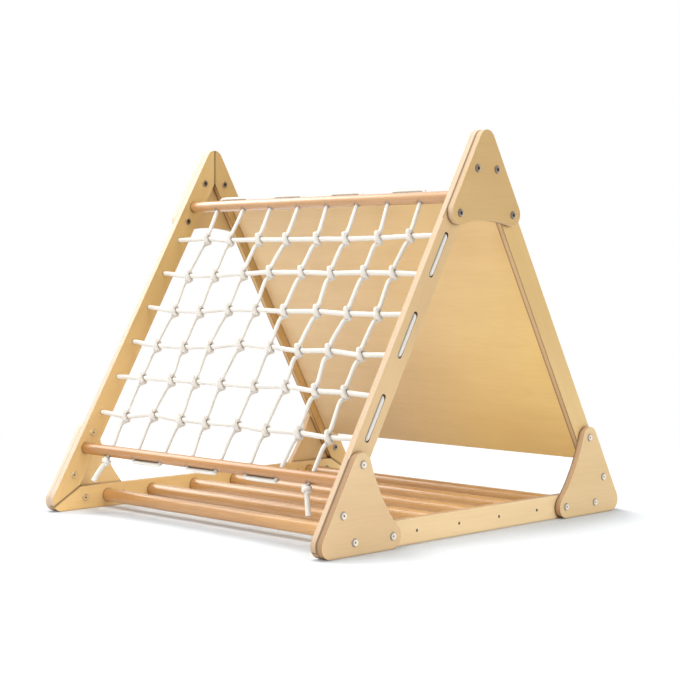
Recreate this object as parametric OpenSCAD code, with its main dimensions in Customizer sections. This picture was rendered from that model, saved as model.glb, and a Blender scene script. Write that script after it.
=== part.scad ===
// Climbing triangle for small children: three mitred plywood frames, bolted into one
// rigid prism by six corner plates. The front frame holds a knotted rope net, the back
// frame a plain climbing panel, and the frame on the floor a ladder of six rungs.
// X runs along the rungs, the net faces -Y, the panel faces +Y, and Z is up.
// Every rail, dowel and panel is drawn on the floor side of the triangle and then
// turned about the triangle's centre line onto its own side.

/* [Frame] */
// Length of each side of the triangle, to its sharp corners
frame_side = 1000; // [940:10:1100]
// Width over the outer faces of the side rails
frame_width = 860; // [760:10:960]
// Width of a rail, across the face of the plywood
rail_width = 52; // [48:1:60]
// Thickness of the rails
rail_thickness = 15; // [15:0.5:18]
// Radius of the rounded corners of the rails and plates
corner_radius = 25; // [18:1:26]

/* [Corner plates] */
// Thickness of the corner plates
plate_thickness = 15; // [12:0.5:18]
// Depth of a plate from the sharp corner to the middle of its hollow edge
plate_depth = 213.5; // [208:0.5:225]
// Radius of the hollow edge
plate_hollow_radius = 364; // [320:1:420]

/* [Connector bolts] */
// Distance from the sharp corner to the first bolt of a rail
first_bolt_inset = 108; // [100:1:120]
// Distance of the second bolt of a rail beyond the middle of the plate's lobe
lobe_bolt_offset = 1.8; // [0:0.1:4]
// Diameter of the bolt heads and sleeve nut heads
bolt_head_d = 17; // [14:0.5:18]
// Height of the heads above the wood
bolt_head_h = 2.5; // [2:0.1:3.5]
// Diameter of the bolts
bolt_d = 6; // [5:0.5:6.5]
// Diameter of the sleeve nuts and of the threaded inserts in the panel
sleeve_d = 9; // [8:0.5:10]
// Size of the hexagonal sockets of the bolts and sleeve nuts, across the flats
hex_key = 4; // [3:0.5:4.5]
// Length of a bolt inside its sleeve nut or threaded insert
bolt_grip = 12; // [8:1:14]

/* [Net] */
// Number of ropes that run down the net
net_columns = 8; // [4:2:10]
// Number of ropes that run across the net
net_rows = 6; // [4:2:8]
// Diameter of the rope
rope_d = 10; // [8:0.5:10.5]
// Diameter of the two dowels that hold the net
net_dowel_d = 26; // [24:1:30]
// Distance from a net dowel to the second bolt near it
dowel_to_bolt = 40; // [34:1:48]
// Length of the cut rope ends that hang below the net
rope_tail = 48; // [30:1:60]

/* [Ladder] */
// Diameter of the rungs
rung_d = 30; // [26:1:34]
// Distance from the first and last rung to the second bolt near them
rung_to_bolt = 43.5; // [36:0.5:48]

/* [Panel] */
// Thickness of the climbing panel
panel_thickness = 15; // [15:0.5:18]
// Distance from a sharp corner to the panel's edge near it
panel_inset = 160; // [140:1:180]

/* [Screws] */
// Depth of the sockets in the rails for rungs and dowels
socket_depth = 7; // [5:0.5:8]
// Diameter of the screws in the ends of rungs and dowels
screw_d = 4; // [3.5:0.5:5]
// Diameter of the screw heads
screw_head_d = 6; // [5.5:0.5:8]
// Height of the screw heads
screw_head_h = 2.5; // [2:0.1:3]
// Size of the hexagonal sockets of the screws, across the flats
screw_key = 2.5; // [2:0.5:3]
// Length of the screws below the head
screw_length = 40; // [30:1:60]

/* [Clearances] */
// Gap all round a rung, a dowel, a bolt or a screw in its hole
fit_gap = 0.2; // [0.1:0.05:0.4]
// Gap all round the rope in its holes and slots
rope_gap = 0.8; // [0.5:0.1:1.2]
// Gap between rope and what it is wrapped round or lies on
wrap_gap = 0.5; // [0.45:0.05:0.8]
// Gap between the two strands that lie side by side in a knot
strand_gap = 2.1; // [1.8:0.1:3]
// Distance over which a rope straightens above and below a knot
lead_in = 4; // [3:0.5:8]
// How far the ropes run out of a dowel's holes before they bend
mouth = 2; // [1:0.5:3]
// Gap between the rope end that hangs beside the left rail and the plate below it
tail_gap = 5; // [2:1:10]

/* [Hidden] */
$fn = 64;

// Triangle
half_side = frame_side / 2;
centre_z = frame_side * tan(30) / 2;
corner_reach = frame_side / 2 / cos(30);
rail_mid = rail_width / 2;
mitre_run = rail_width / tan(30);
base_turn = 0;
panel_turn = base_turn + 120;
net_turn = base_turn - 120;
top_corner = 90;
front_corner = top_corner + 120;
back_corner = top_corner - 120;

// Planes across the width
outer_x = frame_width / 2;
inner_x = outer_x - rail_thickness;
plate_x = outer_x + plate_thickness;

// Lobes of the corner plates
hollow_reach = plate_depth + plate_hollow_radius;
lobe_reach = plate_hollow_radius + corner_radius;
lobe_inset = hollow_reach * cos(30)
    - sqrt(pow(lobe_reach, 2) - pow(hollow_reach * sin(30) - corner_radius, 2));
corner_tangent = corner_radius / tan(30);
second_bolt_inset = lobe_inset + lobe_bolt_offset;

// Bolts: lengths from the face of the plate to the end of the shank
joint_depth = plate_thickness + rail_thickness;
sleeve_length = (joint_depth + bolt_grip) / 2;
bolt_length = joint_depth - sleeve_length + bolt_grip;
bolt_end_room = 2;
insert_recess = 1;
panel_bolt_length = joint_depth + insert_recess + bolt_grip;
insert_length = bolt_grip + bolt_end_room;
hex_depth = bolt_head_h + 1.5;
head_bevel = 1.2;
head_rim = 0.8;

// Rungs, dowels and screws
rung_count = 6;
end_gap = 0.3;
dowel_half_length = inner_x + socket_depth - end_gap;
screw_recess = 1;
screw_bore_depth = screw_recess + screw_head_h;
screw_tip_x = outer_x - screw_bore_depth - screw_length;
screw_end_room = 2;
screw_key_depth = 1.5;
net_dowel_y = half_side - second_bolt_inset + dowel_to_bolt;
rung_first_y = half_side - second_bolt_inset + rung_to_bolt;
rung_pitch = 2 * rung_first_y / (rung_count - 1);

// Net: rows from the top dowel down, columns from left to right
rope_r = rope_d / 2;
row_pitch = 2 * net_dowel_y / (net_rows + 1);
column_pitch = 2 * inner_x / (net_columns + 1);
rope_hole_d = rope_d + 2 * rope_gap;
bend_gap = 1.2;
wrap_r = rope_d + wrap_gap;
wrap_shift = (rope_d + strand_gap) / 2;
wrap_lead = wrap_r + lead_in;
wrap_step = 45;
bend_r = rope_r + bend_gap;
bend_step = 45;
slot_depth = rope_d + wrap_gap;
slot_width = rope_hole_d + 0.8;
slot_x = outer_x - rope_r - wrap_gap / 2;
loop_v = net_dowel_y + net_dowel_d / 2 + rope_r + wrap_gap;
mouth_v = net_dowel_d / 2 + mouth;
rope_sides = 6;

// Stopper knots at the ropes' ends
knot_d = 2.3 * rope_d;
knot_gap = 0.3;
knot_sides = 12;
knot_v = -net_dowel_y - net_dowel_d / 2 - knot_gap - knot_d / 2;
side_knot_thickness = 1.5 * rope_d;
side_knot_bevel = 3;
side_knot_x = -outer_x - knot_gap - side_knot_thickness / 2;
side_tail = half_side - net_dowel_y + row_pitch - lobe_inset - corner_radius - tail_gap;
tail_left = [-0.25, -0.97, 0.04];
tail_right = [0.2, -0.92, -0.35];

birch = [0.90, 0.80, 0.62];
beech = [0.86, 0.66, 0.47];
cotton = [0.95, 0.93, 0.88];
steel = [0.72, 0.72, 0.70];

function row_y(i) = -net_dowel_y + i * row_pitch;
function column_x(k) = (k - (net_columns + 1) / 2) * column_pitch;
function rung_y(i) = -rung_first_y + (i - 1) * rung_pitch;

// ---------- Placing ----------

// Turns what is drawn on the floor side onto another side of the triangle
module on_side(turn) {
    translate([0, 0, centre_z]) rotate([turn, 0, 0]) translate([0, 0, -centre_z]) children();
}

// Places what is drawn at a corner with the corner's bisector along +X
module at_corner(angle) {
    translate([0, centre_z, 0]) rotate(angle) translate([corner_reach, 0, 0]) rotate(180) children();
}

// Stands up what is drawn flat, so that its thickness runs along +X from x0
module stood_up(x0) {
    translate([x0, 0, 0]) rotate([90, 0, 90]) children();
}

// Builds for the right-hand side, or mirrored for the left
module handed(side) {
    mirror([side < 0 ? 1 : 0, 0, 0]) children();
}

// A cylinder along +X
module rod_x(x0, length, d) {
    translate([x0, 0, 0]) rotate([0, 90, 0]) cylinder(d = d, h = length);
}

// ---------- Outlines ----------

// Point on a side of the triangle where the rounding of a corner begins
function tangent_point(corner, heading) =
    [0, centre_z] + corner_reach * [cos(corner), sin(corner)]
    + corner_tangent * [cos(heading), sin(heading)];

// The whole triangle with its three corners rounded
module rounded_triangle() {
    for (corner = [top_corner, front_corner, back_corner])
        at_corner(corner) translate([2 * corner_radius, 0]) circle(corner_radius);
    polygon([
        for (corner = [front_corner, back_corner, top_corner], side = [-1, 1])
            tangent_point(corner, corner + side * 150)
    ]);
}

// A rail on the floor side: mitred at both ends, with the rounded outer corners
module rail_blank() {
    stood_up(inner_x) linear_extrude(rail_thickness) intersection() {
        rounded_triangle();
        polygon([
            [-half_side, 0],
            [half_side, 0],
            [half_side - mitre_run, rail_width],
            [-half_side + mitre_run, rail_width]
        ]);
    }
}

// A corner plate, with its corner at the origin: three rounded lobes and a hollow inner edge
module plate_blank() {
    touch = plate_hollow_radius / lobe_reach;
    lobe = [
        lobe_inset * cos(30) + corner_radius * sin(30),
        lobe_inset * sin(30) - corner_radius * cos(30)
    ];
    lobe_touch = [hollow_reach - (hollow_reach - lobe[0]) * touch, lobe[1] * touch];
    difference() {
        union() {
            translate([2 * corner_radius, 0, 0])
                cylinder(r = corner_radius, h = plate_thickness);
            for (side = [-1, 1])
                translate([lobe[0], side * lobe[1], 0])
                    cylinder(r = corner_radius, h = plate_thickness);
            linear_extrude(plate_thickness) polygon([
                corner_tangent * [cos(30), sin(30)],
                lobe_inset * [cos(30), sin(30)],
                lobe_touch,
                [lobe_touch[0], -lobe_touch[1]],
                lobe_inset * [cos(30), -sin(30)],
                corner_tangent * [cos(30), -sin(30)]
            ]);
        }
        translate([hollow_reach, 0, -1])
            cylinder(r = plate_hollow_radius, h = plate_thickness + 2, $fn = 180);
    }
}

// ---------- Rails ----------

// Bore for a connector, right through the rail, at a distance from the middle of its length
module rail_bore(y, d) {
    translate([0, y, rail_mid]) rod_x(inner_x - 1, rail_thickness + 2, d);
}

// Socket for the end of a rung or dowel, with its screw hole, in the inner face of a rail
module dowel_socket(y, d) {
    translate([0, y, rail_mid]) {
        rod_x(inner_x - 1, socket_depth + 1, d + 2 * fit_gap);
        rod_x(inner_x, rail_thickness, screw_d + 2 * fit_gap);
        rod_x(outer_x - screw_bore_depth, screw_bore_depth + 1, screw_head_d + 2 * fit_gap);
    }
}

// Slot in the outer face where the rope passes from one row to the next
module rope_slot(row) {
    translate([0, row_y(row), rail_mid]) stood_up(outer_x - slot_depth)
        linear_extrude(slot_depth + 1) {
            for (y = [0, row_pitch])
                translate([y, 0]) circle(d = slot_width);
            translate([0, -slot_width / 2]) square([row_pitch, slot_width]);
        }
}

// The rope lies in slots between rows 1-2, 3-4, ... on the right, and 2-3, 4-5, ... on the left
module net_rail(side) {
    color(birch) handed(side) on_side(net_turn) difference() {
        rail_blank();
        for (end = [-1, 1]) {
            rail_bore(end * (half_side - first_bolt_inset), sleeve_d + 2 * fit_gap);
            rail_bore(end * (half_side - second_bolt_inset), sleeve_d + 2 * fit_gap);
            dowel_socket(end * net_dowel_y, net_dowel_d);
        }
        for (row = [1 : net_rows])
            rail_bore(row_y(row), rope_hole_d);
        for (row = [(side > 0 ? 1 : 2) : 2 : net_rows - 1])
            rope_slot(row);
    }
}

module panel_rail(side) {
    color(birch) handed(side) on_side(panel_turn) difference() {
        rail_blank();
        for (end = [-1, 1]) {
            rail_bore(end * (half_side - first_bolt_inset), sleeve_d + 2 * fit_gap);
            rail_bore(end * (half_side - second_bolt_inset), bolt_d + 2 * fit_gap);
        }
    }
}

module base_rail(side) {
    color(birch) handed(side) on_side(base_turn) difference() {
        rail_blank();
        for (end = [-1, 1]) {
            rail_bore(end * (half_side - first_bolt_inset), sleeve_d + 2 * fit_gap);
            rail_bore(end * (half_side - second_bolt_inset), sleeve_d + 2 * fit_gap);
        }
        for (i = [1 : rung_count])
            dowel_socket(rung_y(i), rung_d);
    }
}

// ---------- Corner plates and connectors ----------

// Places a connector on the outer face of a plate: the side of the triangle that it is on,
// its end of that side, and its distance from the sharp corner
module at_bolt(turn, end, inset) {
    on_side(turn) translate([0, end * (half_side - inset), rail_mid]) children();
}

// The sides that meet at a corner, each with the end of it that lies there
function corner_sides(corner) =
    corner == top_corner ? [[net_turn, -1], [panel_turn, 1]]
    : corner == front_corner ? [[base_turn, -1], [net_turn, 1]]
    : [[panel_turn, -1], [base_turn, 1]];

// A far bolt on the panel's side runs on into the panel
function into_panel(turn, inset) = turn == panel_turn && inset == second_bolt_inset;

module corner_plate(corner, side) {
    color(birch) handed(side) difference() {
        stood_up(outer_x) at_corner(corner) plate_blank();
        for (place = corner_sides(corner), inset = [first_bolt_inset, second_bolt_inset]) {
            d = into_panel(place[0], inset) ? bolt_d : sleeve_d;
            at_bolt(place[0], place[1], inset)
                rod_x(outer_x - 1, plate_thickness + 2, d + 2 * fit_gap);
        }
    }
}

// A flat round head with a bevelled rim, from z = 0 upwards
module flat_head() {
    rotate_extrude() polygon([
        [0, 0],
        [bolt_head_d / 2, 0],
        [bolt_head_d / 2, head_rim],
        [bolt_head_d / 2 - head_bevel, bolt_head_h],
        [0, bolt_head_h]
    ]);
}

module hex_socket() {
    translate([0, 0, bolt_head_h - hex_depth])
        cylinder(d = hex_key / cos(30), h = hex_depth + 1, $fn = 6);
}

// A connector bolt with its head on the plate's outer face
module connector_bolt(length) {
    translate([plate_x, 0, 0]) rotate([0, 90, 0]) difference() {
        union() {
            flat_head();
            translate([0, 0, -length]) cylinder(d = bolt_d, h = length + 1);
        }
        hex_socket();
    }
}

// A sleeve nut with its head on the rail's inner face
module sleeve_nut() {
    translate([inner_x, 0, 0]) rotate([0, -90, 0]) difference() {
        union() {
            flat_head();
            translate([0, 0, -sleeve_length]) cylinder(d = sleeve_d, h = sleeve_length + 1);
        }
        translate([0, 0, -sleeve_length - 1])
            cylinder(d = bolt_d + 2 * fit_gap, h = bolt_grip + bolt_end_room + 1);
        hex_socket();
    }
}

module corner_bolts(corner, side) {
    color(steel) handed(side)
        for (place = corner_sides(corner), inset = [first_bolt_inset, second_bolt_inset])
            at_bolt(place[0], place[1], inset)
                connector_bolt(into_panel(place[0], inset) ? panel_bolt_length : bolt_length);
}

module corner_sleeve_nuts(corner, side) {
    color(steel) handed(side)
        for (place = corner_sides(corner), inset = [first_bolt_inset, second_bolt_inset])
            if (!into_panel(place[0], inset))
                at_bolt(place[0], place[1], inset) sleeve_nut();
}

// ---------- Panel ----------

module panel_pocket() {
    rod_x(inner_x - insert_recess - insert_length, insert_length + insert_recess + 1,
        sleeve_d + 2 * fit_gap);
}

// The panel stands between its rails, on their middle plane
module back_panel() {
    panel_length = frame_side - 2 * panel_inset;
    color(birch) on_side(panel_turn) difference() {
        translate([-inner_x, -panel_length / 2, rail_mid - panel_thickness / 2])
            cube([2 * inner_x, panel_length, panel_thickness]);
        for (side = [-1, 1], end = [-1, 1])
            handed(side) translate([0, end * (half_side - second_bolt_inset), rail_mid])
                panel_pocket();
    }
}

// Threaded inserts in the panel's edge for the long bolts
module panel_inserts(side) {
    color(steel) handed(side)
        for (end = [-1, 1])
            at_bolt(panel_turn, end, second_bolt_inset) difference() {
                rod_x(inner_x - insert_recess - insert_length, insert_length, sleeve_d);
                rod_x(inner_x - insert_recess - insert_length - 1, insert_length + 2,
                    bolt_d + 2 * fit_gap);
            }
}

// ---------- Rungs, dowels and screws ----------

// A round bar across the frame, with a screw hole in each end
module round_bar(d) {
    difference() {
        rod_x(-dowel_half_length, 2 * dowel_half_length, d);
        for (side = [-1, 1])
            handed(side) rod_x(screw_tip_x - screw_end_room,
                screw_length + screw_end_room, screw_d + 2 * fit_gap);
    }
}

module base_rung(i) {
    color(beech) on_side(base_turn) translate([0, rung_y(i), rail_mid]) round_bar(rung_d);
}

// A net dowel has a hole for each rope that runs down the net
module net_dowel(end) {
    color(beech) on_side(net_turn) translate([0, end * net_dowel_y, rail_mid]) difference() {
        round_bar(net_dowel_d);
        for (k = [1 : net_columns])
            translate([column_x(k), -net_dowel_d / 2 - 1, 0])
                rotate([-90, 0, 0]) cylinder(d = rope_hole_d, h = net_dowel_d + 2);
    }
}

// A screw through the rail into the end of a rung or dowel
module end_screw() {
    rod_x(screw_tip_x, screw_length + screw_head_h / 4, screw_d);
    difference() {
        rod_x(outer_x - screw_bore_depth, screw_head_h, screw_head_d);
        translate([outer_x - screw_recess - screw_key_depth, 0, 0]) rotate([0, 90, 0])
            cylinder(d = screw_key / cos(30), h = screw_key_depth + 1, $fn = 6);
    }
}

module rung_screws(side) {
    color(steel) handed(side)
        for (i = [1 : rung_count])
            on_side(base_turn) translate([0, rung_y(i), rail_mid]) end_screw();
}

module net_dowel_screws(side) {
    color(steel) handed(side)
        for (end = [-1, 1])
            on_side(net_turn) translate([0, end * net_dowel_y, rail_mid]) end_screw();
}

// ---------- Rope ----------

// The net's own coordinates: x across, v up the slope, n out of the net, towards the front
function net_point(p) = [p[0], -p[1], rail_mid - p[2]];

// One knot of a rope that runs down: it passes in front of the row's rope, goes once
// round it and comes out in front again, beside itself
function knot_path(x, v) = [
    [x + wrap_shift, v + wrap_lead, wrap_r],
    for (a = [0 : wrap_step : 360])
        [x + wrap_shift * (1 - a / 180), v - wrap_r * sin(a), wrap_r * cos(a)],
    [x - wrap_shift, v - wrap_lead, wrap_r]
];

// A quarter bend in a plane, from direction a to direction b, that starts at p
function quarter_bend(p, a, b) = [
    for (t = [0 : bend_step : 90]) p + bend_r * (sin(t) * a + (1 - cos(t)) * b)
];

function reversed(list) = [for (i = [len(list) - 1 : -1 : 0]) list[i]];

// One rope down the net, from above the top dowel to below the bottom dowel
function column_path(k) = [
    [column_x(k), net_dowel_y + mouth_v, 0],
    [column_x(k), net_dowel_y - mouth_v, 0],
    for (row = [1 : net_rows]) each knot_path(column_x(k), -row_y(row)),
    [column_x(k), -net_dowel_y + mouth_v, 0],
    [column_x(k), -net_dowel_y - mouth_v, 0]
];

// The loop over the top dowel (end = 1) or under the bottom dowel (end = -1), from column k
function loop_path(k, end) = [
    each quarter_bend([column_x(k), end * (loop_v - bend_r), 0], [0, end, 0], [1, 0, 0]),
    each quarter_bend([column_x(k + 1) - bend_r, end * loop_v, 0], [1, 0, 0], [0, -end, 0])
];

// Column 1 runs up from its end knot, column 2 down, and so on
function rope_down_path() = [
    [column_x(1), knot_v, 0] + (knot_d / 2 + rope_tail) * tail_left,
    [column_x(1), knot_v, 0],
    for (k = [1 : net_columns]) each [
        each (k % 2 == 1 ? reversed(column_path(k)) : column_path(k)),
        each (k < net_columns ? loop_path(k, k % 2 == 1 ? 1 : -1) : [])
    ],
    [column_x(net_columns), knot_v, 0],
    [column_x(net_columns), knot_v, 0] + (knot_d / 2 + rope_tail) * tail_right
];

// Row 1 runs from its end knot on the left to the right, row 2 back, and so on
function rope_across_path() = [
    [side_knot_x, -row_y(1) - side_tail, 0],
    each quarter_bend([side_knot_x, -row_y(1) - bend_r, 0], [0, 1, 0], [1, 0, 0]),
    for (row = [1 : net_rows - 1]) let (
        to = row % 2 == 1 ? 1 : -1,
        v = -row_y(row),
        turn_x = to * (slot_x - bend_r)
    ) each [
        each quarter_bend([turn_x, v, 0], [to, 0, 0], [0, -1, 0]),
        each quarter_bend([to * slot_x, v - row_pitch + bend_r, 0], [0, -1, 0], [-to, 0, 0])
    ],
    each quarter_bend([side_knot_x + bend_r, -row_y(net_rows), 0], [-1, 0, 0], [0, -1, 0]),
    [side_knot_x, -row_y(net_rows) - side_tail, 0]
];

function unit(p) = p / norm(p);
function across_part(u, t) = unit(u - (u * t) * t);

// Directions across a path, carried along it without twist
function carried(t) = [
    for (i = 0, u = across_part([0.3, 0.2, 1], t[0]); i < len(t);
        i = i + 1, u = i < len(t) ? across_part(u, t[i]) : u) u
];

// An unbroken tube along a path
module tube(path, r, sides) {
    last = len(path) - 1;
    t = [for (i = [0 : last]) unit(path[min(i + 1, last)] - path[max(i - 1, 0)])];
    u = carried(t);
    points = [
        for (i = [0 : last], j = [0 : sides - 1])
            let (a = 360 * j / sides)
                path[i] + r * (cos(a) * u[i] + sin(a) * cross(t[i], u[i]))
    ];
    faces = [
        for (i = [0 : last - 1], j = [0 : sides - 1])
            let (a = i * sides + j, b = i * sides + (j + 1) % sides)
                each [[a, a + sides, b], [b, a + sides, b + sides]],
        for (j = [1 : sides - 2]) [0, j, j + 1],
        for (j = [1 : sides - 2]) [last * sides, last * sides + j + 1, last * sides + j]
    ];
    polyhedron(points, faces, convexity = 10);
}

// Least distance between the parts of one knot that lie more than a quarter turn apart
function least_knot_gap(p) = min([
    for (i = [0 : len(p) - 1], j = [i + 3 : 1 : len(p) - 1]) norm(p[i] - p[j]) - rope_d
]);

module rope_tube(path) {
    tube([for (p = path) net_point(p)], rope_r, rope_sides);
}

// The stopper knots under the bottom dowel hold both ends of the rope
module rope_down() {
    echo(least_gap_in_a_knot = least_knot_gap(knot_path(0, 0)), gap_to_the_row = wrap_r - rope_d);
    color(cotton) on_side(net_turn) {
        rope_tube(rope_down_path());
        for (k = [1, net_columns])
            translate(net_point([column_x(k), knot_v, 0])) sphere(d = knot_d, $fn = knot_sides);
    }
}

// Outline of half a flattened stopper knot, around its axis
module side_knot_profile() {
    polygon([
        [0, 0],
        [knot_d / 2 - side_knot_bevel, 0],
        [knot_d / 2, side_knot_bevel],
        [knot_d / 2, side_knot_thickness - side_knot_bevel],
        [knot_d / 2 - side_knot_bevel, side_knot_thickness],
        [0, side_knot_thickness]
    ]);
}

// The stopper knots outside the left rail hold both ends of the rope
module rope_across() {
    color(cotton) on_side(net_turn) {
        rope_tube(rope_across_path());
        for (row = [1, net_rows])
            translate(net_point([side_knot_x - side_knot_thickness / 2, -row_y(row), 0]))
                rotate([0, 90, 0]) rotate_extrude($fn = knot_sides) side_knot_profile();
    }
}

net_rail(-1);  // net_rail_left
net_rail(1);  // net_rail_right
panel_rail(-1);  // panel_rail_left
panel_rail(1);  // panel_rail_right
base_rail(-1);  // base_rail_left
base_rail(1);  // base_rail_right
corner_plate(top_corner, -1);  // top_plate_left
corner_plate(top_corner, 1);  // top_plate_right
corner_plate(front_corner, -1);  // front_plate_left
corner_plate(front_corner, 1);  // front_plate_right
corner_plate(back_corner, -1);  // back_plate_left
corner_plate(back_corner, 1);  // back_plate_right
net_dowel(-1);  // net_top_dowel
net_dowel(1);  // net_bottom_dowel
base_rung(1);  // base_rung_1
base_rung(2);  // base_rung_2
base_rung(3);  // base_rung_3
base_rung(4);  // base_rung_4
base_rung(5);  // base_rung_5
base_rung(6);  // base_rung_6
back_panel();
rope_down();
rope_across();
corner_bolts(top_corner, -1);  // top_bolts_left
corner_bolts(top_corner, 1);  // top_bolts_right
corner_bolts(front_corner, -1);  // front_bolts_left
corner_bolts(front_corner, 1);  // front_bolts_right
corner_bolts(back_corner, -1);  // back_bolts_left
corner_bolts(back_corner, 1);  // back_bolts_right
corner_sleeve_nuts(top_corner, -1);  // top_sleeve_nuts_left
corner_sleeve_nuts(top_corner, 1);  // top_sleeve_nuts_right
corner_sleeve_nuts(front_corner, -1);  // front_sleeve_nuts_left
corner_sleeve_nuts(front_corner, 1);  // front_sleeve_nuts_right
corner_sleeve_nuts(back_corner, -1);  // back_sleeve_nuts_left
corner_sleeve_nuts(back_corner, 1);  // back_sleeve_nuts_right
panel_inserts(-1);  // panel_inserts_left
panel_inserts(1);  // panel_inserts_right
rung_screws(-1);  // rung_screws_left
rung_screws(1);  // rung_screws_right
net_dowel_screws(-1);  // net_dowel_screws_left
net_dowel_screws(1);  // net_dowel_screws_right
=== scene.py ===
import math

import bmesh
import bpy
import numpy as np
from mathutils import Matrix, Vector


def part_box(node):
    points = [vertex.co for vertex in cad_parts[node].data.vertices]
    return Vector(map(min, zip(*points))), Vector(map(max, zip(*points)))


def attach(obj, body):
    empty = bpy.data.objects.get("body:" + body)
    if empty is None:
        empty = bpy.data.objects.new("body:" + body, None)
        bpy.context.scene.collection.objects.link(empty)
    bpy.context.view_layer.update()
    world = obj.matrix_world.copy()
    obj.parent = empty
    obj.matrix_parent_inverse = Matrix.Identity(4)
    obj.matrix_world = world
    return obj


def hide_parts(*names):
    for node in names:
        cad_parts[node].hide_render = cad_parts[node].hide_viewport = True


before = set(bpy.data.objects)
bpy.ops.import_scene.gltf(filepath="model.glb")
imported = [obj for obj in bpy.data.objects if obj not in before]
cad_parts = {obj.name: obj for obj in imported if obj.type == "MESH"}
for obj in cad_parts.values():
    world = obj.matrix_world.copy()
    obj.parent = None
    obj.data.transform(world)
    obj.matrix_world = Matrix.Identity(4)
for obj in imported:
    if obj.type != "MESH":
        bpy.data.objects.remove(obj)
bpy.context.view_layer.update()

# ---------------------------------------------------------------- camera, fitted to the photograph

AZIMUTH, ELEVATION, ROLL = (math.radians(v) for v in (44.537, 2.387, 0.207))
EYE = (2.55049, -2.57417, 0.54129)
LENS, SENSOR = 84.23, 36.0                # millimetres
NEAREST, FARTHEST = 0.1, 60.0

camera = bpy.data.cameras.new("camera")
camera.lens, camera.sensor_width = LENS, SENSOR
camera.clip_start, camera.clip_end = NEAREST, FARTHEST
eye = bpy.data.objects.new("camera", camera)
bpy.context.scene.collection.objects.link(eye)
right = Vector((math.cos(AZIMUTH), math.sin(AZIMUTH), 0))
back = Vector((math.sin(AZIMUTH) * math.cos(ELEVATION),
               -math.cos(AZIMUTH) * math.cos(ELEVATION), math.sin(ELEVATION)))
up = back.cross(right)
axis_x = right * math.cos(ROLL) + up * math.sin(ROLL)
axis_y = up * math.cos(ROLL) - right * math.sin(ROLL)
eye.matrix_world = Matrix.Translation(EYE) @ Matrix((axis_x, axis_y, back)).transposed().to_4x4()
bpy.context.scene.camera = eye

# ---------------------------------------------------------------- sizes in metres, as in the CAD

SIDE = 1.0                                # side of the triangle, to its sharp corners
RAIL_MID = 0.026                          # half of a rail's width
INNER_X, OUTER_X = 0.415, 0.430           # inner and outer faces of the rails
NET_V = SIDE / 2 - 0.176                  # net dowels, from the middle of the net, up the slope
DOWEL_R, ROPE_R = 0.013, 0.005
COLUMNS, ROWS = 8, 6
ROW_PITCH = 2 * NET_V / (ROWS + 1)
COLUMN_PITCH = 2 * INNER_X / (COLUMNS + 1)
SIN30, COS30 = 0.5, math.sqrt(0.75)
NET_UP = Vector((0, SIN30, COS30))
NET_OUT = Vector((0, -COS30, SIN30))
NET_MID = Vector((0, -SIDE / 2, 0)) + NET_UP * (SIDE / 2) - NET_OUT * RAIL_MID

# The visual ropes: their radii, how far out the centre lines of their loops and turns lie, and
# the middles of their end knots
DOWN_R, DOWN_END_R, ACROSS_R = 0.0045, 0.0056, 0.0053
LOOP_V = {1: NET_V + DOWEL_R + ROPE_R + 0.0005, -1: NET_V + DOWEL_R + ROPE_R - 0.0003}
SLOT_X = OUTER_X - 0.0037
SLOT_IN = -0.0013                         # the turns lie this far inside the net's plane
BEND_R = 0.0062                           # bends of the centre lines in the loops and turns
TOUCH = 0.0003                            # gap between a knot and the wood that it rests on
KNOT_V = -NET_V - DOWEL_R - TOUCH - 0.0115
KNOT_X = -OUTER_X - TOUCH - 0.0075


def column_x(k):
    return (k - (COLUMNS + 1) / 2) * COLUMN_PITCH


def row_v(i):
    return NET_V - i * ROW_PITCH


def to_world(points):
    """Net coordinates (across, up the slope, out of the net) to the frame's."""
    p = np.asarray(points, float)
    up_, out_, mid = np.array(NET_UP), np.array(NET_OUT), np.array(NET_MID)
    return mid + p[:, :1] * np.array([1.0, 0, 0]) + p[:, 1:2] * up_ + p[:, 2:3] * out_


# ---------------------------------------------------------------- node helpers

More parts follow.
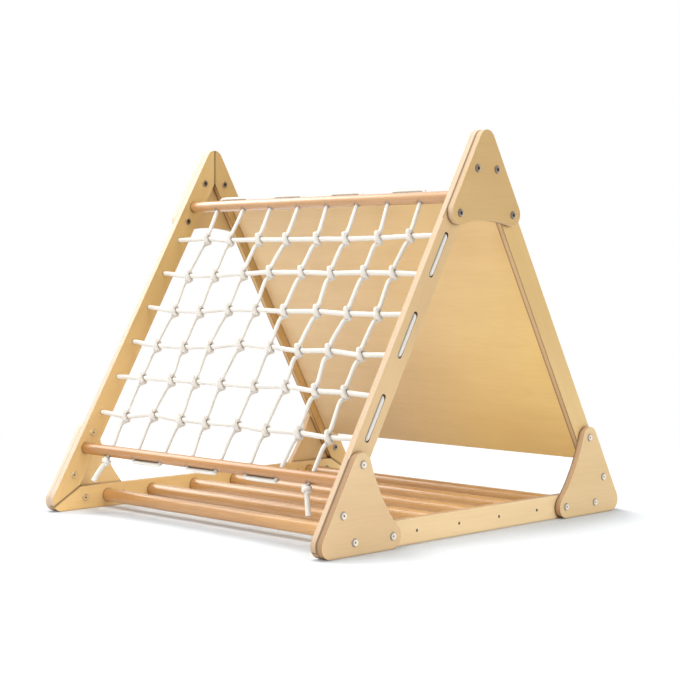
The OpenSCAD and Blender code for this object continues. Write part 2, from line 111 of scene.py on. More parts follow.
class Nodes:
    """Short calls for the shader nodes used below."""

    def __init__(self, tree):
        self.t = tree

    def put(self, socket, value):
        if isinstance(value, bpy.types.NodeSocket):
            self.t.links.new(value, socket)
        elif value is not None:
            socket.default_value = value

    def math(self, op, *values):
        n = self.t.nodes.new("ShaderNodeMath")
        n.operation = op
        for s, v in zip(n.inputs, values):
            self.put(s, v)
        return n.outputs[0]

    def apart(self, a, b):
        return self.math("ABSOLUTE", self.math("SUBTRACT", a, b))

    def hypot(self, *values):
        """Square root of the sum of the values' squares."""
        total = self.math("MULTIPLY", values[-1], values[-1])
        for v in values[-2::-1]:
            total = self.math("ADD", self.math("MULTIPLY", v, v), total)
        return self.math("SQRT", total)

    def vector(self, op, a, b=None):
        """A vector calculation whose result is a number: DOT_PRODUCT, DISTANCE or LENGTH."""
        n = self.t.nodes.new("ShaderNodeVectorMath")
        n.operation = op
        self.put(n.inputs[0], a)
        self.put(n.inputs[1], b)
        return n.outputs["Value"]

    def coords(self):
        return self.t.nodes.new("ShaderNodeTexCoord").outputs["Object"]

    def uv(self):
        return self.t.nodes.new("ShaderNodeUVMap").outputs[0]

    def mapping(self, vector, rotation=(0, 0, 0), scale=(1, 1, 1), location=(0, 0, 0)):
        n = self.t.nodes.new("ShaderNodeMapping")
        self.put(n.inputs["Vector"], vector)
        n.inputs["Rotation"].default_value = rotation
        n.inputs["Scale"].default_value = scale
        n.inputs["Location"].default_value = location
        return n.outputs[0]

    def noise(self, vector, scale, detail=3.0, rough=0.55, distortion=0.0):
        n = self.t.nodes.new("ShaderNodeTexNoise")
        self.put(n.inputs["Vector"], vector)
        n.inputs["Scale"].default_value = scale
        n.inputs["Detail"].default_value = detail
        n.inputs["Roughness"].default_value = rough
        n.inputs["Distortion"].default_value = distortion
        return n.outputs["Fac"]

    def ramp(self, value, *stops):
        n = self.t.nodes.new("ShaderNodeValToRGB")
        e = n.color_ramp.elements
        e[0].position, e[1].position = stops[0][0], stops[-1][0]
        for s in stops[1:-1]:
            e.new(s[0])
        for el, s in zip(sorted(e, key=lambda q: q.position), stops):
            c = s[1]
            el.color = (c, c, c, 1) if isinstance(c, (int, float)) else (*c, 1)
        self.put(n.inputs[0], value)
        return n.outputs[0]

    def mix(self, fac, a, b, blend="MIX"):
        n = self.t.nodes.new("ShaderNodeMix")
        n.data_type, n.blend_type = "RGBA", blend
        self.put(n.inputs["Factor"], fac)
        for s, v in ((n.inputs[6], a), (n.inputs[7], b)):
            self.put(s, (*v, 1) if isinstance(v, tuple) else v)
        return n.outputs[2]

    def split(self, vector):
        n = self.t.nodes.new("ShaderNodeSeparateXYZ")
        self.put(n.inputs[0], vector)
        return n.outputs

    def open_sky(self, distance, samples=8):
        """1 on open surfaces, less in the hollows within the distance."""
        n = self.t.nodes.new("ShaderNodeAmbientOcclusion")
        n.samples = samples
        n.inputs["Distance"].default_value = distance
        return n.outputs["AO"]

    def bump(self, height, strength, distance, shader):
        n = self.t.nodes.new("ShaderNodeBump")
        n.inputs["Strength"].default_value = strength
        n.inputs["Distance"].default_value = distance
        self.put(n.inputs["Height"], height)
        self.put(shader.inputs["Normal"], n.outputs[0])


def new_material(name):
    m = bpy.data.materials.new(name)
    m.use_nodes = True
    shader = next(n for n in m.node_tree.nodes if n.type == "BSDF_PRINCIPLED")
    return m, Nodes(m.node_tree), shader


# ---------------------------------------------------------------- materials

# Birch veneer, and its rings, streaks, pores and flecks
BIRCH_LIGHT, BIRCH_DARK = (0.790, 0.590, 0.345), (0.735, 0.530, 0.298)
RINGS, STREAKS = (0.600, 0.400, 0.205), (0.620, 0.425, 0.220)
PORES, FLECKS = (0.560, 0.375, 0.200), (0.50, 0.32, 0.16)
# Layers of the plywood's cut edge, each from one tone to another, and their fibres
LIGHT_PLY = ((0.800, 0.640, 0.470), (0.700, 0.530, 0.355))
DARK_PLY = ((0.430, 0.280, 0.160), (0.530, 0.365, 0.215))
FIBRES = (0.45, 0.29, 0.155)
PLY = 0.00136                             # thickness of a layer
# Beech, and its streaks and rays
BEECH_DARK, BEECH_LIGHT = (0.395, 0.185, 0.056), (0.465, 0.236, 0.084)
BEECH_STREAKS, BEECH_RAYS = (0.320, 0.150, 0.050), (0.260, 0.120, 0.046)
# Cotton: its grooves with painted shade, its sides and crests, yellowed places, fibres, and
# painted shade where it passes the dowel
COTTON_AND_GROOVE_SHADE = ((0.42, 0.395, 0.36), (0.735, 0.710, 0.665), (0.840, 0.820, 0.780))
YELLOWED, COTTON_FIBRES, DOWEL_CONTACT_SHADE = (0.70, 0.655, 0.59), (0.66, 0.630, 0.58), (0.20, 0.145, 0.095)
# Dark tones: of a joint and the smudge along it; of the seam under a plate, a dark joint line
# widened with painted shade; and painted shade of a rope slot, of other crevices, of the edges
# near the floor, and of the sockets and rims of heads
JOINT, SMUDGE = (0.13, 0.065, 0.025), (0.42, 0.25, 0.11)
SEAM_JOINT_AND_SHADE, SLOT_SHADE = (0.085, 0.042, 0.017), (0.11, 0.06, 0.03)
CREVICE_SHADE, FOOT_SHADE = (0.16, 0.085, 0.035), (0.30, 0.17, 0.075)
SOCKET_SHADE, RIM_SHADE = (0.05, 0.026, 0.014), (0.10, 0.055, 0.028)
# Painted shade of the hollows in each material
FACE_HOLLOW_SHADE, EDGE_HOLLOW_SHADE = (0.23, 0.125, 0.055), (0.14, 0.075, 0.032)
BEECH_HOLLOW_SHADE, ROPE_HOLLOW_SHADE = (0.20, 0.10, 0.04), (0.26, 0.21, 0.16)

RIM_SHADE_LEAN = (0, -0.94, 0.34)               # the side of a head whose rim's painted shade is darkest
RIM_START, RIM_FULL = 0.0067, 0.0076      # radii between which a head's rim gets painted shade
ZERO = 0.5                                # a ramp starts at 0, so places along an axis are shifted
SLOT_MID, SLOT_HALF = 0.0024, 0.0075      # middle and half-width of the rope slots' painted shade
LIP_SHADE_LINES = (OUTER_X - 0.0008, INNER_X + 0.0016)    # |x| of the painted shade lines along an edge's borders
HOLE_SHIFT = 0.0012                       # the painted shade of a rope hole lies a little to the right
LOOP_SHADE_END = COLUMN_PITCH * 3.6            # the loops' painted shade on a dowel fades beyond this
LOOP_SHADE_FADE = 0.8                          # how fast it fades
RIGHTWARDS_LIGHT = (1.26, 1.34, 1.28)           # painted light: tint of the rungs' right-hand ends


def shade(colour, by):
    return tuple(c * b for c, b in zip(colour, by))


def stain_and_shade(k, colour, value, full, none, strength, tone=CREVICE_SHADE):
    """Mixes a tone in where a value is small, as in the joint between two boards: the
    material's own marks, and also painted shade.
    """
    return k.mix(k.ramp(value, (full, strength), (none, 0.0)), colour, tone)


def tinted(k, colour, value, start, end, by):
    """Multiplies a colour by a tint, not at all at the start and fully at the end."""
    return k.mix(k.ramp(value, (start, 0.0), (end, 1.0)), colour,
                 k.mix(1.0, colour, by, "MULTIPLY"))


def along(k, axis, centre):
    """Distance of a surface from a centre along an axis that lies across X."""
    _, y, z = k.split(k.coords())
    return k.math("ADD", k.math("MULTIPLY", k.math("SUBTRACT", y, centre[1]), axis[1]),
                  k.math("MULTIPLY", k.math("SUBTRACT", z, centre[2]), axis[2]))


def surface(k, shader, colour, rough, specular=None):
    k.put(shader.inputs["Base Color"], colour)
    k.put(shader.inputs["Roughness"], rough)
    k.put(shader.inputs["Specular IOR Level"], specular)


def mitre_distance(k, top):
    """Distance from the joints at the rails' feet, whose planes pass through the triangle's
    centre, and with top also from the joint at its top."""
    _, y, z = k.split(k.coords())
    side = k.math("ABSOLUTE", y)
    foot = k.apart(k.math("MULTIPLY", z, COS30),
                   k.math("MULTIPLY", k.math("SUBTRACT", SIDE / 2, side), SIN30))
    return k.math("MINIMUM", foot, side) if top else foot


def plywood_face(name, turn, seed, tint, mitres=None, along_x=False, light_drift=()):
    """Birch veneer, its grain along Y after a turn about X, or along X. Painted light and shade may
    change its tone along axes, and it has painted shade in its hollows. Mitres is False on a rail
    whose joints are all at the triangle's feet, True on one that also reaches the joint at its
    top, and None on a board without joints."""
    m, k, shader = new_material(name)
    at = k.mapping(k.mapping(k.coords(), rotation=(turn, 0, 0)),
                   location=(seed * 0.91, seed * 1.37, seed * 0.53))

    def figure(stretch, *noise):
        """Noise drawn out along the grain."""
        scale = (stretch, 1, 1) if along_x else (1, stretch, 1)
        return k.noise(k.mapping(at, scale=scale), *noise)

    wave = figure(0.30, 3.2, 2, 0.5)
    rings = k.math("PINGPONG", k.math("MULTIPLY", wave, 26.0), 1.0)
    broad = figure(0.25, 6.0, 3, 0.5, 0.3)
    streak = figure(0.05, 48.0, 4, 0.55, 0.3)
    fine = figure(0.03, 420.0, 3, 0.6)
    fleck = figure(0.12, 300.0, 2, 0.5)
    wood = k.ramp(broad, (0.30, shade(BIRCH_DARK, tint)), (0.66, shade(BIRCH_LIGHT, tint)))
    wood = stain_and_shade(k, wood, rings, 0.0, 0.14, 0.08, shade(RINGS, tint))
    wood = stain_and_shade(k, wood, streak, 0.36, 0.58, 0.09, shade(STREAKS, tint))
    wood = stain_and_shade(k, wood, fine, 0.40, 0.55, 0.10, shade(PORES, tint))
    wood = k.mix(k.ramp(fleck, (0.70, 0.0), (0.78, 0.24)), wood, shade(FLECKS, tint))
    # painted light and shade along the axes
    for axis, start, end, by in light_drift:
        place = k.math("ADD", k.vector("DOT_PRODUCT", k.coords(), axis), ZERO)
        wood = tinted(k, wood, place, start + ZERO, end + ZERO, by)
    if mitres is not None:
        joint = mitre_distance(k, mitres)
        wood = stain_and_shade(k, wood, joint, 0.0012, 0.0050, 0.20, SMUDGE)
        wood = stain_and_shade(k, wood, joint, 0.0004, 0.0011, 0.95, JOINT)
    # painted shade in the hollows of the face
    wood = stain_and_shade(k, wood, k.open_sky(0.007), 0.30, 0.80, 0.80, FACE_HOLLOW_SHADE)
    surface(k, shader, wood, k.ramp(streak, (0.3, 0.52), (0.7, 0.44)), 0.30)
    k.bump(k.mix(0.5, streak, fine), 0.10, 0.0006, shader)
    return m


def plywood_edge(name, normal, tint, seam=0.0, span=None, mitres=None, slots=False, lips=False):
    """Cut edge of birch plywood, whose layers lie across the sheet's normal. The seam between
    the rails and the plates is a dark joint line widened with painted shade, all along or only
    below and above a span of heights, and rope slots have painted shade. Lips are painted shade
    lines along the borders of an edge. The edge also has painted shade near the floor and in its
    hollows. Mitres is as for a face."""
    m, k, shader = new_material(name)
    at = k.coords()
    x, _, z = k.split(at)
    plies = k.math("MULTIPLY", k.vector("DOT_PRODUCT", at, normal), 1 / PLY / 2)
    wobble = k.math("MULTIPLY", k.math("SUBTRACT", k.noise(at, 30.0, 2), 0.5), 0.16)
    layer = k.math("PINGPONG", k.math("ADD", plies, wobble), 0.5)
    grain = k.noise(at, 900.0, 3, 0.6)
    blend = k.ramp(k.noise(at, 24.0, 3, 0.55), (0.3, 0.0), (0.7, 1.0))
    light, dark = (k.mix(blend, *(shade(c, tint) for c in pair)) for pair in (LIGHT_PLY, DARK_PLY))
    wood = k.mix(k.ramp(layer, (0.20, 0.0), (0.30, 1.0)), dark, light)
    wood = stain_and_shade(k, wood, grain, 0.36, 0.52, 0.45, FIBRES)
    # painted shade on the edges near the floor
    wood = stain_and_shade(k, wood, z, 0.004, 0.050, 0.60, FOOT_SHADE)
    across = k.math("ABSOLUTE", x)
    # the seam's dark joint line, widened with painted shade
    if seam:
        off, inner, outer = k.apart(across, OUTER_X), 0.0023, 0.0042
        if span is not None:
            between = k.math("MULTIPLY", k.math("GREATER_THAN", z, span[0]),
                             k.math("LESS_THAN", z, span[1]))
            off, inner, outer = k.math("ADD", off, between), 0.0010, 0.0022
        wood = stain_and_shade(k, wood, off, inner, outer, seam, SEAM_JOINT_AND_SHADE)
    if mitres is not None:
        wood = stain_and_shade(k, wood, mitre_distance(k, mitres), 0.0005, 0.0013, 0.93)
    # painted shade in the rope slots
    if slots:
        out_ = k.apart(along(k, NET_OUT, NET_MID), SLOT_MID)
        wood = stain_and_shade(k, wood, out_, SLOT_HALF, 0.0090, 0.92, SLOT_SHADE)
    # painted shade lines along the borders of the edge
    if lips:
        border = k.math("MINIMUM", *(k.apart(across, line) for line in LIP_SHADE_LINES))
        wood = stain_and_shade(k, wood, border, 0.0010, 0.0021, 0.68)
    # painted shade in the hollows of the edge
    wood = stain_and_shade(k, wood, k.open_sky(0.010), 0.30, 0.85, 0.85, EDGE_HOLLOW_SHADE)
    surface(k, shader, wood, 0.58, 0.25)
    k.bump(k.mix(0.5, grain, layer), 0.22, 0.0005, shader)
    return m


def painted_rope_shade(k, wood, centre, loops):
    """Paints shade on a net dowel round its rope holes, and where the rope's loops lie on it: over
    it (1) or under it (-1)."""
    x = k.split(k.coords())[0]
    off, high = along(k, NET_OUT, centre), along(k, NET_UP, centre)
    shifted = k.math("ADD", x, COLUMN_PITCH * COLUMNS)
    nearest = k.math("PINGPONG", k.math("SUBTRACT", shifted, HOLE_SHIFT), COLUMN_PITCH / 2)
    step = k.math("SUBTRACT", nearest, COLUMN_PITCH / 2)
    # painted shade round the rope holes
    wood = stain_and_shade(k, wood, k.hypot(step, off), 0.0068, 0.0088, 0.90)
    # painted shade where the loops lie against the dowel
    middle = k.math("PINGPONG", k.math("ADD", shifted, COLUMN_PITCH if loops > 0 else 0.0),
                    COLUMN_PITCH)
    outside = k.math("MAXIMUM", k.math("SUBTRACT", middle, COLUMN_PITCH / 2),
                     k.math("SUBTRACT", k.math("ABSOLUTE", x), LOOP_SHADE_END))
    outside = k.math("MULTIPLY", k.math("MAXIMUM", outside, 0.0), LOOP_SHADE_FADE)
    away = k.math("SUBTRACT", DOWEL_R, k.math("MULTIPLY", high, loops))
    return stain_and_shade(k, wood, k.hypot(away, off, outside), 0.0048, 0.0075, 0.88)


def beech(name, seed, centre, tint, coat, loops):
    """Lacquered beech bar along X, with its short dark rays, painted shade near its ends and in its
    hollows. Loops is 0 for a rung, which has painted light growing to the right, and otherwise the
    side of a net dowel that its rope's loops lie on."""
    m, k, shader = new_material(name)
    at = k.mapping(k.coords(), location=(seed * 1.7, seed * 0.31, seed * 0.77))
    broad = k.noise(k.mapping(at, scale=(0.10, 1, 1)), 40.0, 3, 0.55, 0.4)
    streak = k.noise(k.mapping(at, scale=(0.035, 1, 1)), 260.0, 4, 0.62, 0.5)
    rays = k.noise(k.mapping(at, scale=(0.13, 1, 1)), 700.0, 2, 0.5)
    wood = k.ramp(broad, (0.30, shade(BEECH_DARK, tint)), (0.68, shade(BEECH_LIGHT, tint)))
    wood = stain_and_shade(k, wood, streak, 0.36, 0.60, 0.26, shade(BEECH_STREAKS, tint))
    wood = k.mix(k.ramp(rays, (0.62, 0.0), (0.70, 0.42)), wood, shade(BEECH_RAYS, tint))
    x = k.split(k.coords())[0]
    # painted light: a rung grows lighter to the right
    if not loops:
        wood = tinted(k, wood, x, 0.05, 0.38, RIGHTWARDS_LIGHT)
    # painted shade where the bar enters a rail
    wood = stain_and_shade(k, wood, k.math("SUBTRACT", INNER_X, k.math("ABSOLUTE", x)), 0.0004, 0.0026, 0.60)
    if loops:
        wood = painted_rope_shade(k, wood, centre, loops)
    # painted shade in the hollows of the bar
    wood = stain_and_shade(k, wood, k.open_sky(0.009), 0.30, 0.80, 0.65, BEECH_HOLLOW_SHADE)
    surface(k, shader, wood, k.ramp(streak, (0.3, 0.40), (0.7, 0.30)), 0.6)
    shader.inputs["Coat Weight"].default_value = coat
    shader.inputs["Coat IOR"].default_value = 1.6
    shader.inputs["Coat Roughness"].default_value = 0.26
    k.bump(k.mix(0.5, streak, rays), 0.12, 0.0005, shader)
    return m


def braided_rope(name):
    """Soft braided cotton: two sets of strands cross round the rope, over and under, with painted
    shade in the grooves between them. It has painted shade where it passes round the bottom dowel."""
    m, k, shader = new_material(name)
    u, v, _ = k.split(k.uv())
    around, onward = k.math("MULTIPLY", u, 12.0), k.math("MULTIPLY", v, 11.0)
    a, b = k.math("ADD", around, onward), k.math("SUBTRACT", around, onward)
    fa, fb = k.math("FRACT", a), k.math("FRACT", b)
    # Far from zero, so that no count of strands is negative
    parity = k.math("MODULO", k.math("ADD", k.math("FLOOR", a),
                                     k.math("ADD", k.math("FLOOR", b), 4000.0)), 2.0)

    def strand(across_, along_):
        rise = k.math("SINE", k.math("MULTIPLY", along_, math.pi))
        side = k.math("SINE", k.math("MULTIPLY", across_, math.pi))
        return k.math("MULTIPLY", k.math("POWER", side, 0.6),
                      k.math("MULTIPLY_ADD", rise, 0.5, 0.5))

    over = k.math("GREATER_THAN", parity, 0.5)
    height = k.math("ADD", k.math("MULTIPLY", strand(fa, fb), over),
                    k.math("MULTIPLY", strand(fb, fa), k.math("SUBTRACT", 1.0, over)))
    fibre = k.noise(k.mapping(k.uv(), scale=(60, 9, 1)), 6.0, 3, 0.6)
    soft = k.noise(k.coords(), 35.0, 3, 0.5)
    # painted shade in the braid's grooves
    colour = k.ramp(height, *zip((0.0, 0.45, 1.0), COTTON_AND_GROOVE_SHADE))
    colour = stain_and_shade(k, colour, soft, 0.35, 0.62, 0.22, YELLOWED)
    colour = stain_and_shade(k, colour, fibre, 0.30, 0.55, 0.25, COTTON_FIBRES)
    # painted shade in the hollows of the braid
    colour = stain_and_shade(k, colour, k.open_sky(0.006), 0.22, 0.72, 0.85, ROPE_HOLLOW_SHADE)
    # painted shade where the rope passes round the bottom dowel
    down = k.math("MULTIPLY", along(k, NET_UP, NET_MID), -1.0)
    past = k.math("SUBTRACT", down, NET_V + DOWEL_R - 0.001)
    under_dowel_shade = k.ramp(past, (0.0, 0.0), (0.0008, 0.90), (0.0036, 0.62), (0.0062, 0.0))
    surface(k, shader, k.mix(under_dowel_shade, colour, DOWEL_CONTACT_SHADE), 0.85, 0.2)
    shader.inputs["Sheen Weight"].default_value = 0.15
    k.bump(k.mix(0.2, height, fibre), 0.5, 0.0007, shader)
    return m


def steel(name, colour, rough, metallic=1.0, centres=(), socket=None, rim=None):
    """Plated steel with fine marks and dull patches. Heads at the centres have painted shade in
    their sockets, of the given radius, and on their rims, of the given darkness and heavier on one
    side."""
    m, k, shader = new_material(name)
    at = k.coords()
    patch = k.noise(at, 240.0, 3, 0.6)
    marks = k.noise(k.mapping(at, scale=(8, 1, 1)), 900.0, 2, 0.5)
    metal = k.mix(k.ramp(patch, (0.3, 0.0), (0.7, 1.0)), colour, tuple(c * 0.86 for c in colour))
    flat = k.mapping(at, scale=(0, 1, 1))
    heads = [(k.vector("DISTANCE", flat, (0, *c[1:])), along(k, RIM_SHADE_LEAN, c)) for c in centres]
    if heads:
        near, lean = heads[0]
        for gap, slant in heads[1:]:
            closer = k.math("LESS_THAN", gap, near)
            lean = k.math("ADD", k.math("MULTIPLY", slant, closer),
                          k.math("MULTIPLY", lean, k.math("SUBTRACT", 1.0, closer)))
            near = k.math("MINIMUM", near, gap)
        # painted shade in the sockets, and on the rims, heavier on one side
        metal = stain_and_shade(k, metal, near, socket, socket + 0.0006, 0.97, SOCKET_SHADE)
        border = k.math("ADD", near, k.math("MULTIPLY", lean, 0.20))
        metal = k.mix(k.ramp(border, (RIM_START, 0.0), (RIM_FULL, rim)), metal, RIM_SHADE)
    surface(k, shader, metal, k.ramp(patch, (0.3, rough), (0.7, rough + 0.12)))
    shader.inputs["Metallic"].default_value = metallic
    k.bump(marks, 0.10, 0.0002, shader)
    return m


# Tints of each board's faces and cut edges: partly the sheets' own differences, and partly
# painted light and shade, as the painted highlight on the pale edges of the left-hand boards
# and the painted shade on the darker top plates
TONES_AND_PAINTED_LIGHT = {
    "net_rail_left": ((1.04, 0.97, 0.74), (1.08, 1.20, 1.40)),
    "net_rail_right": ((0.92, 0.90, 0.86), (1.00, 1.02, 1.06)),
    "panel_rail_left": ((0.95, 0.84, 0.58), (0.98, 0.84, 0.55)),
    "panel_rail_right": ((1.02, 1.02, 0.86), (1.08, 1.00, 0.82)),
    "base_rail_left": ((1.10, 1.04, 0.80), (0.95, 0.90, 0.82)),
    "base_rail_right": ((1.12, 1.16, 1.16), (0.90, 0.84, 0.76)),
    "top_plate_left": ((0.82, 0.76, 0.60), (1.14, 1.30, 1.56)),
    "top_plate_right": ((0.76, 0.70, 0.53), (0.92, 0.90, 0.84)),
    "front_plate_left": ((1.16, 1.18, 1.04), (1.14, 1.30, 1.56)),
    "front_plate_right": ((0.94, 0.93, 0.92), (0.60, 0.50, 0.40)),
    "back_plate_left": ((1.00, 0.93, 0.76), (0.90, 0.82, 0.74)),
    "back_plate_right": ((0.96, 0.97, 0.92), (0.92, 0.82, 0.70)),
    "back_panel": ((0.91, 0.90, 0.88), (0.95, 0.88, 0.76)),
}
# Painted light and shade as slow changes of a board's tone: axis, start, end and tint reached
# there
UPWARDS = (0, 0, 1)
LIGHT_DRIFT = {
    "net_rail_left": [(UPWARDS, 0.30, 0.49, (0.80, 0.79, 0.72))],
    "panel_rail_left": [(UPWARDS, 0.30, 0.49, (0.78, 0.78, 0.74))],
    "net_rail_right": [(UPWARDS, 0.20, 0.49, (0.90, 0.88, 0.84))],
    "panel_rail_right": [(UPWARDS, 0.10, 0.45, (0.84, 0.79, 0.70))],
    "back_panel": [((1, 0, 0), -0.16, 0.18, (1.11, 1.10, 0.98)),
                   ((1, 0, -1), -0.32, 0.02, (1.11, 1.11, 0.91))],
}

# ---------------------------------------------------------------- wooden pieces

BODY = "root"
BOARD_NORMAL, PANEL_NORMAL = (1, 0, 0), (0, COS30, SIN30)
FACE_COS = 0.9                            # a board's faces lie within this of its normal
# Turns about X that lay the grain of each side's rails along Y
TURNS = {"base": 0.0, "panel": math.radians(-120), "net": math.radians(120)}
RAIL_EASE, PLATE_EASE, EASE_STEPS = 0.0012, 0.0016, 3
FLAT_ANGLE, SHARP_ANGLE = math.radians(0.6), math.radians(40)
SEAM_DEPTH = {"left": 0.35, "right": 0.97}    # how dark the painted shade in the plates' seams is


def link(obj):
    bpy.context.scene.collection.objects.link(obj)
    return obj


def eased(node, face, edge, normal, width=RAIL_EASE, seamed=False):
    """A copy of a CAD board with its edges eased, its faces and cut edges told apart. On a board
    with a seam, the eased corners look like the cut edges."""
    name = f"eased_{node}"
    bm = bmesh.new()
    bm.from_mesh(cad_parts[node].data)
    bmesh.ops.remove_doubles(bm, verts=bm.verts, dist=1e-6)
    bmesh.ops.dissolve_limit(bm, angle_limit=FLAT_ANGLE, verts=bm.verts, edges=bm.edges)
    bm.normal_update()
    bm.verts.index_update()
    verts = [v.co[:] for v in bm.verts]
    faces = [[v.index for v in f.verts] for f in bm.faces]
    which = [0 if abs(f.normal.dot(Vector(normal))) > FACE_COS else 1 for f in bm.faces]
    bm.free()
    mesh = bpy.data.meshes.new(name)
    mesh.from_pydata(verts, [], faces)
    mesh.materials.append(face)
    mesh.materials.append(edge)
    mesh.polygons.foreach_set("material_index", which)
    mesh.polygons.foreach_set("use_smooth", [True] * len(faces))
    mesh.update()
    obj = link(bpy.data.objects.new(name, mesh))
    bevel = obj.modifiers.new("eased_edges", "BEVEL")
    bevel.width, bevel.segments = width, EASE_STEPS
    bevel.limit_method, bevel.angle_limit = "ANGLE", SHARP_ANGLE
    bevel.harden_normals, bevel.use_clamp_overlap = True, True
    bevel.miter_outer = "MITER_ARC"
    bevel.material = 1 if seamed else -1
    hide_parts(node)
    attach(obj, BODY)


# The right net rail's seam has its dark joint line and painted shade beside the plates, to a
# little short of their ends
SEAM_END = 0.012
seams = {"net_rail_right": (0.92, (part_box("front_plate_right")[1][2] - SEAM_END,
                                   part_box("top_plate_right")[0][2] + SEAM_END))}
seed = 0
for side in ("left", "right"):
    for part in ("net", "panel", "base"):
        seed += 1
        node = f"{part}_rail_{side}"
        face, edge = TONES_AND_PAINTED_LIGHT[node]
        seam, span = seams.get(node, (0.0, None))
        mitred = part != "base"
        eased(node, plywood_face(f"birch_face_{node}", TURNS[part], seed, face, mitred,
                                 light_drift=LIGHT_DRIFT.get(node, ())),
              plywood_edge(f"birch_edge_{node}", BOARD_NORMAL, edge, seam, span, mitred,
                           slots=part == "net", lips=part == "panel"),
              BOARD_NORMAL, seamed=part == "net")
    for part in ("top", "front", "back"):
        seed += 1
        node = f"{part}_plate_{side}"
        face, edge = TONES_AND_PAINTED_LIGHT[node]
        eased(node, plywood_face(f"birch_face_{node}", 0.0, seed, face),
              plywood_edge(f"birch_edge_{node}", BOARD_NORMAL, edge, SEAM_DEPTH[side]),
              BOARD_NORMAL, PLATE_EASE, seamed=True)
PANEL_SEED = 7.3
face, edge = TONES_AND_PAINTED_LIGHT["back_panel"]
eased("back_panel",
      plywood_face("birch_face_back_panel", TURNS["panel"], PANEL_SEED, face, along_x=True,
                   light_drift=LIGHT_DRIFT["back_panel"]),
      plywood_edge("birch_edge_back_panel", PANEL_NORMAL, edge), PANEL_NORMAL)

# Tint and coat of each bar, and the side that the rope's loops lie on
NET_DOWELS = {"net_top_dowel": ((1.06, 1.10, 1.10), 1.0, 1),
              "net_bottom_dowel": ((0.93, 0.86, 0.68), 0.26, -1)}
RUNG = ((1.16, 1.25, 1.30), 0.45, 0)
for seed, node in enumerate([*NET_DOWELS, *(f"base_rung_{j}" for j in range(1, 7))], 1):
    low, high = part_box(node)
    middle = [(a + b) / 2 for a, b in zip(low, high)]
    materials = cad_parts[node].data.materials
    materials.clear()
    materials.append(beech(f"beech_{node}", seed, middle, *NET_DOWELS.get(node, RUNG)))

# ---------------------------------------------------------------- steel pieces

STEEL, PALE_STEEL, WARM_STEEL = (1.0, 0.93, 0.82), (1.0, 0.95, 0.82), (1.0, 0.94, 0.86)
# Painted reflections on the sleeve nuts: of the wood on the front ones, a dark one on the top ones
DARK_STEEL, WOOD_REFLECTION, DARK_REFLECTION = (0.22, 0.19, 0.16), (0.82, 0.60, 0.33), (0.46, 0.32, 0.16)
# Colour, radius of the socket's painted shade and darkness of the rim's painted shade: of most
# heads, and of the others
HEAD = (STEEL, 0.0030, 0.70)
HEADS = {
    "top_bolts_right": (PALE_STEEL, 0.0045, 0.90),
    "top_sleeve_nuts_left": (DARK_REFLECTION, 0.0052, 0.40),
    "front_sleeve_nuts_left": (WOOD_REFLECTION, 0.0033, 0.40),
    "back_sleeve_nuts_left": (WARM_STEEL, 0.0043, 0.80),
}
HEAD_ROUGH, HEAD_METALLIC = 0.34, 0.35


def groups(mesh, reach=0.02):
    """Centres of a node's separate fasteners."""
    found = []
    for v in mesh.vertices:
        for g in found:
            if math.hypot(v.co.y - g[0].y, v.co.z - g[0].z) < reach:
                g.append(v.co)
                break
        else:
            found.append([v.co])
    return [[(min(c[i] for c in g) + max(c[i] for c in g)) / 2 for i in range(3)] for g in found]


for node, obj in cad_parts.items():
    name = f"steel_{node}"
    if "screws" in node:
        metal = steel(name, DARK_STEEL, rough=0.42)
    elif "inserts" in node:
        metal = steel(name, STEEL, rough=0.30)
    elif "bolts" in node or "sleeve" in node:
        colour, socket, rim = HEADS.get(node, HEAD)
        metal = steel(name, colour, HEAD_ROUGH, HEAD_METALLIC, groups(obj.data), socket, rim)
    else:
        continue
    obj.data.materials.clear()
    obj.data.materials.append(metal)

# ---------------------------------------------------------------- ropes

MM = 0.001
ROPE_MAT = braided_rope("cotton_braid")
# Where each knot of the net sits off the regular grid, in millimetres: across, up the slope
KNOT_OFF = [
    [(6, 2), (-2, -3), (5, -3), (4, -4), (9, -4), (6, -5), (10, -4), (6, -1)],
    [(-2, -7), (-2, -5), (2, 0), (-4, 4), (5, 4), (4, 2), (10, 4), (0, 3)],
    [(3, -7), (1, -7), (3, 0), (0, 1), (2, -1), (9, 1), (9, -2), (3, -2)],
    [(-4, -7), (0, -7), (-6, -3), (-2, 7), (3, 4), (2, -1), (-1, 2), (-1, -3)],
    [(-5, 1), (6, 2), (-3, 2), (-9, 2), (4, 2), (6, 7), (6, 2), (-2, 3)],
    [(-4, -4), (-2, 6), (3, 1), (-6, 1), (2, 2), (1, -2), (6, -1), (2, -4)],
]
# Centre line of a knot about a row's rope, in millimetres: across, up the slope, out of the net
KNOT = [
    (1.0, 21.0, 2.0), (3.0, 13.0, 4.6), (4.6, 6.4, 7.8), (5.2, 0.4, 9.2), (4.6, -5.4, 7.6),
    (3.6, -9.0, 1.6), (3.0, -7.0, -5.4), (2.6, -0.4, -9.2), (1.8, 6.4, -6.6), (1.2, 10.2, -0.2),
    (1.2, 9.6, 6.8), (3.2, 6.0, 12.2), (6.4, 0.2, 12.4), (9.2, -5.4, 7.8), (10.2, -8.8, 1.4),
    (9.0, -7.6, -5.2), (5.6, -6.8, -8.4), (2.2, -11.2, -4.8), (0.2, -15.6, -1.4),
    (-0.6, -21.0, 0.4),
]


